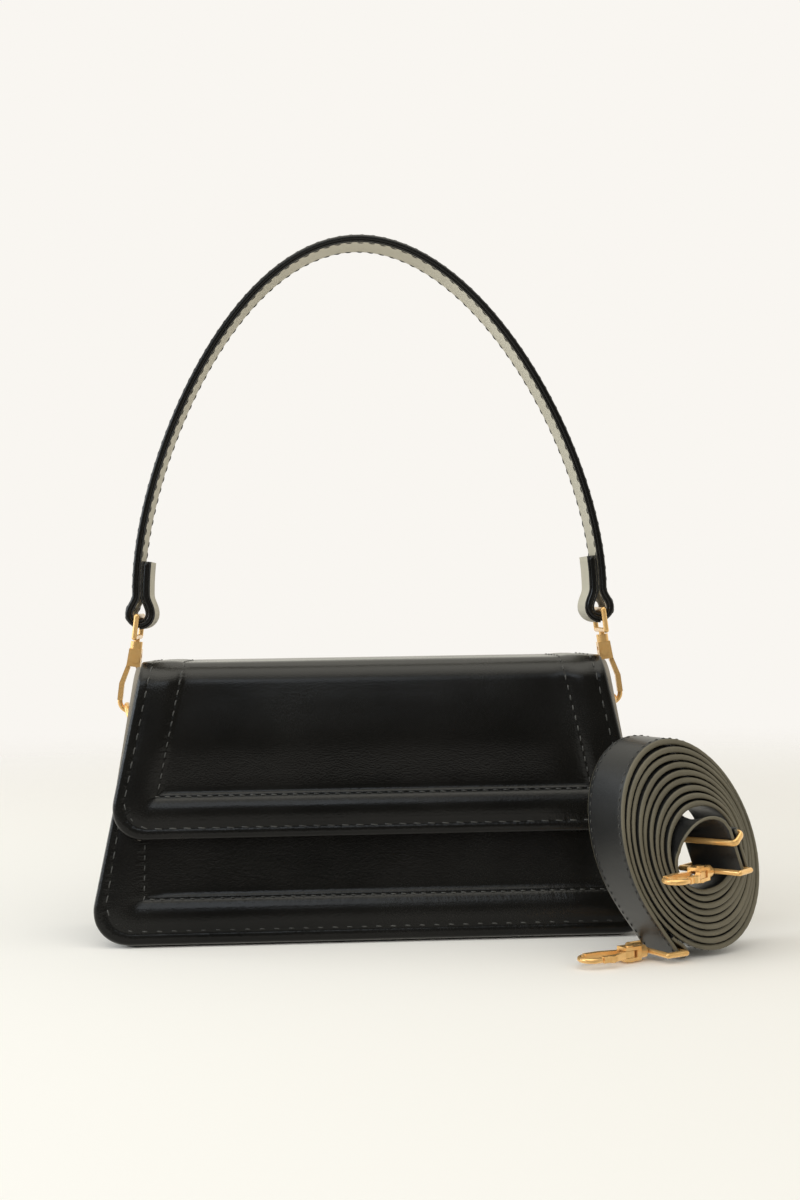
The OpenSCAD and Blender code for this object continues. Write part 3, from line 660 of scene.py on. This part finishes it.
handle_line = [swayed(-point.x, point.y) for point in reversed(right_half)]
handle_line += [swayed(*point) for point in right_half[1:]]
handle_frames = frames_along(handle_line, [Vector((0, 1, 0))] * len(handle_line))
sign = 1 if handle_frames[len(handle_line) // 2][2].z > 0 else -1
handle_frames = [(middle, wide, deep * sign) for middle, wide, deep in handle_frames]
handle = band("handle_leather", handle_frames, HANDLE_W, HANDLE_T, black, "handle", crown=0.1)
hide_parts("handle_strap")
handle_pale = band("handle_pale_side", handle_frames, PALE_W, PALE_T, pale, "handle", crown=0.0,
                   edge=3, centre=-1.55, edge_material=edge_paint)
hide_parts("handle_lining")
for side_name, folded in (("left", handle_frames[:FOLDED_FRAMES]),
                          ("right", handle_frames[-FOLDED_FRAMES:])):
    facing = band(side_name + "_end_facing", folded, PALE_W, PALE_T, pale, "handle", crown=0.0,
                  edge=3, centre=1.45, edge_material=edge_paint)
    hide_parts(side_name + "_tab_facing")

STITCHED_OUTER = 8.6
STITCHED_PALE = 8.7
handle_seams = []
for from_middle, height, facing_out in ((STITCHED_OUTER, 0.98, 1), (STITCHED_PALE, -1.9, -1)):
    for hand in (-1, 1):
        seam_line = [(middle + wide * from_middle * hand + deep * height, deep * facing_out)
                     for middle, wide, deep in handle_frames[FOLDED_FRAMES + 1:-FOLDED_FRAMES - 1]]
        handle_seams.append((seam_line, 4.4))
handle_sewn = stitches("handle_stitches", handle_seams, handle_thread, "handle", length=0.75,
                       radius=0.26)


# Rings and hooks: gold-plated wire D-rings in the tabs, and four small trigger hooks with a
# swivel eye, a riveted thumb gate and a steel spring. These are the frame's own solids.
dress(gold, "left_d_ring", "right_d_ring")
for hook in ("left", "right", "floor", "inner"):
    dress(gold, *[hook + "_hook_" + piece for piece in ("eye", "claw", "rivet", "gate")])
    dress(steel, hook + "_hook_spring")


# Shoulder strap: a long band of black leather with pale raw edges, rolled up and stood on its
# edge. Its outer end is folded round the lower hook's eye and its inner end, pushed out of the
# roll and twisted, round the inner hook's. It is sewn along both edges.
STRAP_W = 20
STRAP_SHOWN_T = 1.28
STRAP_MOST_T = 2.15
STRAP_T = 1.0
ROLL_X = 106.5
ROLL_FRONT = 62.0
ROLL_TURN = math.radians(27.6)
TURNS = 9
POINTS_PER_TURN = 60
ROLL_A = 42.2
ROLL_B = 27.6
TILT = math.radians(28)
STEP_A = 3.0
STEP_B = 1.5
SLIDE = 7.0
INNER_SLIDE = 18.0
TWIST = math.radians(22)
ROLL_Z = math.sqrt((ROLL_A * math.cos(TILT)) ** 2 + (ROLL_B * math.sin(TILT)) ** 2) + STRAP_T / 2
LEAVE = 195.0
FOLD_R = 1.0 + 0.15 + STRAP_T / 2
FLOOR_EYE_Z = 3.1
TAB_L = 7.5
TAB_GAP = STRAP_T + 0.55
INNER_TURN_R = 7
INNER_TURN = math.radians(140)
INNER_RUN = 18
INNER_TAB = 17

strap_black = leather("strap_leather", (0.0075, 0.0078, 0.0080), (0.014, 0.0142, 0.0142),
                      rough=(0.27, 0.36))
strap_edge = leather("strap_edge", (0.080, 0.070, 0.046), (0.135, 0.120, 0.082),
                     rough=(0.5, 0.62))


def direction(angle):
    return Vector((math.cos(angle), math.sin(angle)))


def tilt(x, z):
    return Vector((x * math.cos(TILT) - z * math.sin(TILT), x * math.sin(TILT) + z * math.cos(TILT)))


def on_roll(degrees, turn):
    angle = math.radians(degrees)
    return Vector((0, ROLL_Z)) + tilt((ROLL_B - STEP_B * turn) * math.cos(angle),
                                      (ROLL_A - STEP_A * turn) * math.sin(angle))


leave_angle = math.radians(LEAVE)
leave_point = on_roll(LEAVE, 0)
leave_dir = tilt(-ROLL_B * math.sin(leave_angle), ROLL_A * math.cos(leave_angle)).normalized()
leave_out = Vector((-leave_dir.y, leave_dir.x))
tail_l = (leave_point.y - FLOOR_EYE_Z + FOLD_R * leave_out.y) / -leave_dir.y
floor_eye = leave_point + tail_l * leave_dir + FOLD_R * leave_out
fold_angle = math.atan2(-leave_out.y, -leave_out.x)
line = []
for i in range(9):
    t = i / 8
    across = TAB_GAP - FOLD_R + (2 * FOLD_R - TAB_GAP) * ease(1 - t)
    line.append(floor_eye - leave_dir * TAB_L * (1 - t) + leave_out * across)
line += [floor_eye + FOLD_R * direction(fold_angle + math.pi - i * math.pi / 18)
         for i in range(1, 18)]
n_folded = len(line)
line += [leave_point + leave_dir * tail_l * (1 - i / 9) for i in range(9)]
n_outer = len(line)
line += [on_roll(LEAVE - 360 * i / POINTS_PER_TURN, i / POINTS_PER_TURN)
         for i in range(TURNS * POINTS_PER_TURN + 1)]
n_wound = len(line)
line += [on_roll(LEAVE - 360 * TURNS - 60 * i / 10, TURNS + i / 60) for i in range(1, 11)]
last_dir = (on_roll(LEAVE - 60, TURNS + 4 / 24) - on_roll(LEAVE - 45, TURNS + 3 / 24)).normalized()
turn_middle = line[-1] + INNER_TURN_R * Vector((last_dir.y, -last_dir.x))
turn_from = math.atan2(-last_dir.x, last_dir.y) + math.pi
line += [turn_middle + INNER_TURN_R * direction(turn_from - INNER_TURN * i / 16)
         for i in range(1, 17)]
n_turn_end = len(line)
run_angle = turn_from - INNER_TURN
run_dir = Vector((math.sin(run_angle), -math.cos(run_angle)))
run_out = direction(run_angle)
run_from = turn_middle + INNER_TURN_R * run_out
line += [run_from + run_dir * INNER_RUN * i / 9 for i in range(1, 10)]
inner_eye = run_from + run_dir * INNER_RUN + FOLD_R * run_out
line += [inner_eye + FOLD_R * direction(run_angle + math.pi + math.pi * i / 18)
         for i in range(1, 18)]
line += [inner_eye + FOLD_R * run_out - run_dir * INNER_TAB * i / 8 for i in range(9)]


def strap_spot(i):
    point = line[i]
    if i >= n_turn_end:
        reach = point.x - run_from.x
        return (Vector((run_from.x + reach * math.cos(TWIST),
                        reach * math.sin(TWIST) - INNER_SLIDE, point.y)),
                Vector((math.sin(TWIST), -math.cos(TWIST), 0)))
    share = max(0.0, min(1.0, (i - n_wound) / (n_turn_end - n_wound)))
    turns = max(0, i - n_outer) / POINTS_PER_TURN
    out = SLIDE * min(TURNS, turns) / TURNS + (INNER_SLIDE - SLIDE) * (1 - ease(share))
    if i >= n_outer:
        out += 0.35 * math.sin(turns * 2 * math.pi * 1.618 + 1) * (1 - share)
    twist = TWIST * (1 - ease(share))
    return Vector((point.x, -out, point.y)), Vector((math.sin(twist), -math.cos(twist), 0))


spots = [strap_spot(i) for i in range(len(line))]
roll_place = Matrix.Translation((ROLL_X, -ROLL_FRONT, 0)) @ Matrix.Rotation(ROLL_TURN, 4, "Z")
strap_frames = frames_along([roll_place @ point for point, wide in spots],
                            [roll_place.to_3x3() @ wide for point, wide in spots])


def strap_thickness(i):
    if i < n_outer or i >= n_turn_end:
        return STRAP_SHOWN_T
    angle = math.radians(LEAVE - 360 * (i - n_outer) / POINTS_PER_TURN)
    between = ((STEP_B * math.cos(angle) ** 2 / ROLL_B + STEP_A * math.sin(angle) ** 2 / ROLL_A)
               / math.hypot(math.cos(angle) / ROLL_B, math.sin(angle) / ROLL_A))
    inside = smoothstep(0, 6, i - n_outer) * (1 - smoothstep(n_wound - 12, n_wound, i))
    most = max(0.0, min(STRAP_MOST_T, between * 0.8) - STRAP_SHOWN_T)
    return STRAP_SHOWN_T + most * inside


roll_middle = roll_place @ Vector((0, 0, ROLL_Z))
point, wide, deep = strap_frames[n_outer + 5]
outward = 1 if (point - roll_middle).dot(deep) > 0 else -1
swell = [(strap_thickness(i) / STRAP_SHOWN_T, -outward * (strap_thickness(i) - STRAP_SHOWN_T) / 2)
         for i in range(len(line))]
strap = band("shoulder_strap_leather", strap_frames, STRAP_W, STRAP_SHOWN_T, strap_black,
             "strap", crown=0.0, edge_material=strap_edge, swell=swell)
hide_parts("shoulder_strap")
STRAP_STITCHED = 8.0
strap_seams = []
for hand in (-1, 1):
    seam_line = [(middle + wide * STRAP_STITCHED * hand + deep * outward * 0.62, deep * outward)
                 for middle, wide, deep in strap_frames[n_folded + 1:n_outer + POINTS_PER_TURN]]
    strap_seams.append((seam_line, 3.1))
strap_thread = stitches("strap_stitches", strap_seams, thread, "strap", radius=0.26)


# Slider: a frame of gold-plated wire with rounded corners, bent round both layers of the
# strap's inner end, which it lets slip to set the length.
SLIDER_WIRE = 0.85
SLIDER_ROUND = 1.4
SLIDER_HALF_W = 10.8
SLIDER_HALF_T = (2 * FOLD_R + STRAP_T + 0.6) / 2 + 0.5
turned = Vector((math.cos(TWIST), math.sin(TWIST), 0))
flat_middle = run_from + run_dir * 4 + FOLD_R * run_out
middle_reach = flat_middle.x - run_from.x
slider_middle = Vector((run_from.x + middle_reach * turned.x,
                        middle_reach * turned.y - INNER_SLIDE, flat_middle.y))
along_width = Vector((turned.y, -turned.x, 0))
along_depth = turned * run_out.x + Vector((0, 0, run_out.y))
wire_line = []
for wide_sign, deep_sign, start in ((1, 1, 0), (-1, 1, 90), (-1, -1, 180), (1, -1, 270)):
    for i in range(7):
        corner = direction(math.radians(start + 15 * i)) * SLIDER_ROUND
        wide = wide_sign * (SLIDER_HALF_W - SLIDER_ROUND) + corner.x
        deep = deep_sign * (SLIDER_HALF_T - SLIDER_ROUND) + corner.y
        wire_line.append(slider_middle + along_width * wide + along_depth * deep)
wire_axis = along_width.cross(along_depth).normalized()
wire_rings = []
for i, point in enumerate(wire_line):
    along = (wire_line[(i + 1) % len(wire_line)] - wire_line[i - 1]).normalized()
    out = along.cross(wire_axis).normalized()
    wire_rings.append([
        roll_place @ (point + SLIDER_WIRE * (out * math.cos(math.pi / 5 * k)
                                             + wire_axis * 1.5 * math.sin(math.pi / 5 * k)))
        for k in range(10)])
wire, number = swept(wire_rings, closed=True)
wire.verts.layers.int.remove(number)
slider = finished("strap_slider_frame", wire, [gold], "strap")
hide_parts("strap_slider")


# Floor: a plain pale sheet that the bag stands on. It keeps the shadow near the bag, fades into
# the background further out, and is 55% clear to reflections.
def background(name, color):
    tree = Tree(name)
    distance = tree.add("ShaderNodeVectorMath", operation="LENGTH")
    tree.link(tree.coord, distance.inputs[0])
    tree.finish(Base_Color=(*color, 1), Roughness=0.9, Specular_IOR_Level=0.0,
                Normal=tree.bump(tree.noise(40, 2), 0.02, 0.001))
    far = tree.remap(distance.outputs["Value"], 0.34, 1.1, 0, 1)
    far.node.interpolation_type = "SMOOTHSTEP"
    glossy = tree.add("ShaderNodeLightPath").outputs["Is Glossy Ray"]
    fade = tree.add("ShaderNodeMixShader")
    tree.link(tree.math("MAXIMUM", far, tree.math("MULTIPLY", glossy, 0.55)), fade.inputs[0])
    tree.link(tree.bsdf.outputs[0], fade.inputs[1])
    tree.link(tree.add("ShaderNodeBsdfTransparent").outputs[0], fade.inputs[2])
    tree.link(fade.outputs[0], tree.out.inputs[0])
    return tree.mat


FLOOR_HALF_M = 6
FLOOR_DROP_M = 0.0002
sheet = bmesh.new()
bmesh.ops.create_grid(sheet, x_segments=1, y_segments=1, size=FLOOR_HALF_M)
bmesh.ops.translate(sheet, verts=sheet.verts, vec=(0, 0, -FLOOR_DROP_M))
ground = bpy.data.meshes.new("floor")
sheet.to_mesh(ground)
sheet.free()
ground.materials.append(background("floor", (0.93, 0.91, 0.875)))
floor = bpy.data.objects.new("floor", ground)
bpy.context.scene.collection.objects.link(floor)


# Light: a pale plain surrounding and four large soft lamps. The camera sees one even colour,
# matt surfaces are lit more from the front, and reflections see the surrounding dark in front
# and pale behind and above.
world = bpy.data.worlds.new("studio")
bpy.context.scene.world = world
world.use_nodes = True
nodes = world.node_tree.nodes
nodes.clear()
join = world.node_tree.links.new


def graded(axis, *limits):
    node = nodes.new("ShaderNodeMapRange")
    for i, limit in enumerate(limits):
        node.inputs[i + 1].default_value = limit
    join(axes.outputs[axis], node.inputs[0])
    return node.outputs[0]


def surrounding(color):
    node = nodes.new("ShaderNodeBackground")
    node.inputs[0].default_value = (*color, 1)
    return node


def choice(ray, usual, special):
    node = nodes.new("ShaderNodeMixShader")
    join(rays.outputs[ray], node.inputs[0])
    join(usual.outputs[0], node.inputs[1])
    join(special.outputs[0], node.inputs[2])
    return node


rays = nodes.new("ShaderNodeLightPath")
axes = nodes.new("ShaderNodeSeparateXYZ")
join(nodes.new("ShaderNodeTexCoord").outputs["Generated"], axes.inputs[0])
seen = surrounding((0.947, 0.922, 0.880))
ambient = surrounding((1.0, 0.975, 0.90))
join(graded("Y", -0.8, 0.6, 1.45, 0.29), ambient.inputs[1])
mirrored = surrounding((1.0, 0.97, 0.86))
brighter = nodes.new("ShaderNodeMath")
brighter.operation = "MAXIMUM"
join(graded("Y", -0.6, 0.3, 0.03, 0.95), brighter.inputs[0])
join(graded("Z", 0.56, 0.96, 0.0, 1.9), brighter.inputs[1])
join(brighter.outputs[0], mirrored.inputs[1])
surroundings = choice("Is Camera Ray", choice("Is Glossy Ray", ambient, mirrored), seen)
join(surroundings.outputs[0], nodes.new("ShaderNodeOutputWorld").inputs[0])


def area(name, place, aim, size, power, color):
    lamp = bpy.data.lights.new(name, "AREA")
    lamp.shape = "RECTANGLE"
    lamp.size, lamp.size_y = size
    lamp.energy = power
    lamp.color = color
    hung = bpy.data.objects.new(name, lamp)
    hung.location = place
    hung.rotation_euler = (Vector(aim) - Vector(place)).to_track_quat("-Z", "Y").to_euler()
    bpy.context.scene.collection.objects.link(hung)


area("key_top", (-0.1, -0.55, 1.25), (0, -0.05, 0.05), (1.2, 0.9), 1.4, (1.0, 0.98, 0.92))
area("window_left", (-1.1, -0.40, 0.55), (0, 0, 0.1), (0.6, 0.7), 4.5, (0.80, 0.90, 1.0))
area("front_above", (-0.35, -1.2, 0.85), (0, 0, 0.1), (1.1, 0.3), 1.8, (0.84, 0.92, 1.0))
area("back_left", (-1.0, 0.35, 0.32), (0.05, -0.05, 0.08), (0.35, 0.7), 1.8, (0.86, 0.93, 1.0))


# Camera: a 50 mm lens in front of the bag, a little above its top and turned a little to the
# right, fitted to the photograph.
CAMERA_PLACE = (-0.0212, -0.6579, 0.1294)
CAMERA_ROLL = math.radians(0.85)
lens = bpy.data.cameras.new("camera")
lens.lens = 50
lens.sensor_fit = "AUTO"
lens.sensor_width = 36
camera = bpy.data.objects.new("camera", lens)
bpy.context.scene.collection.objects.link(camera)
forward = Vector((0.0499, 0.9988, 0)).normalized()
level = forward.cross(Vector((0, 0, 1))).normalized()
up = Vector((0, 0, 1)) * math.cos(CAMERA_ROLL) + level * math.sin(CAMERA_ROLL)
camera.matrix_world = Matrix((forward.cross(up), up, -forward)).transposed().to_4x4()
camera.matrix_world.translation = CAMERA_PLACE
bpy.context.scene.camera = camera
bpy.context.scene.view_settings.view_transform = "Standard"
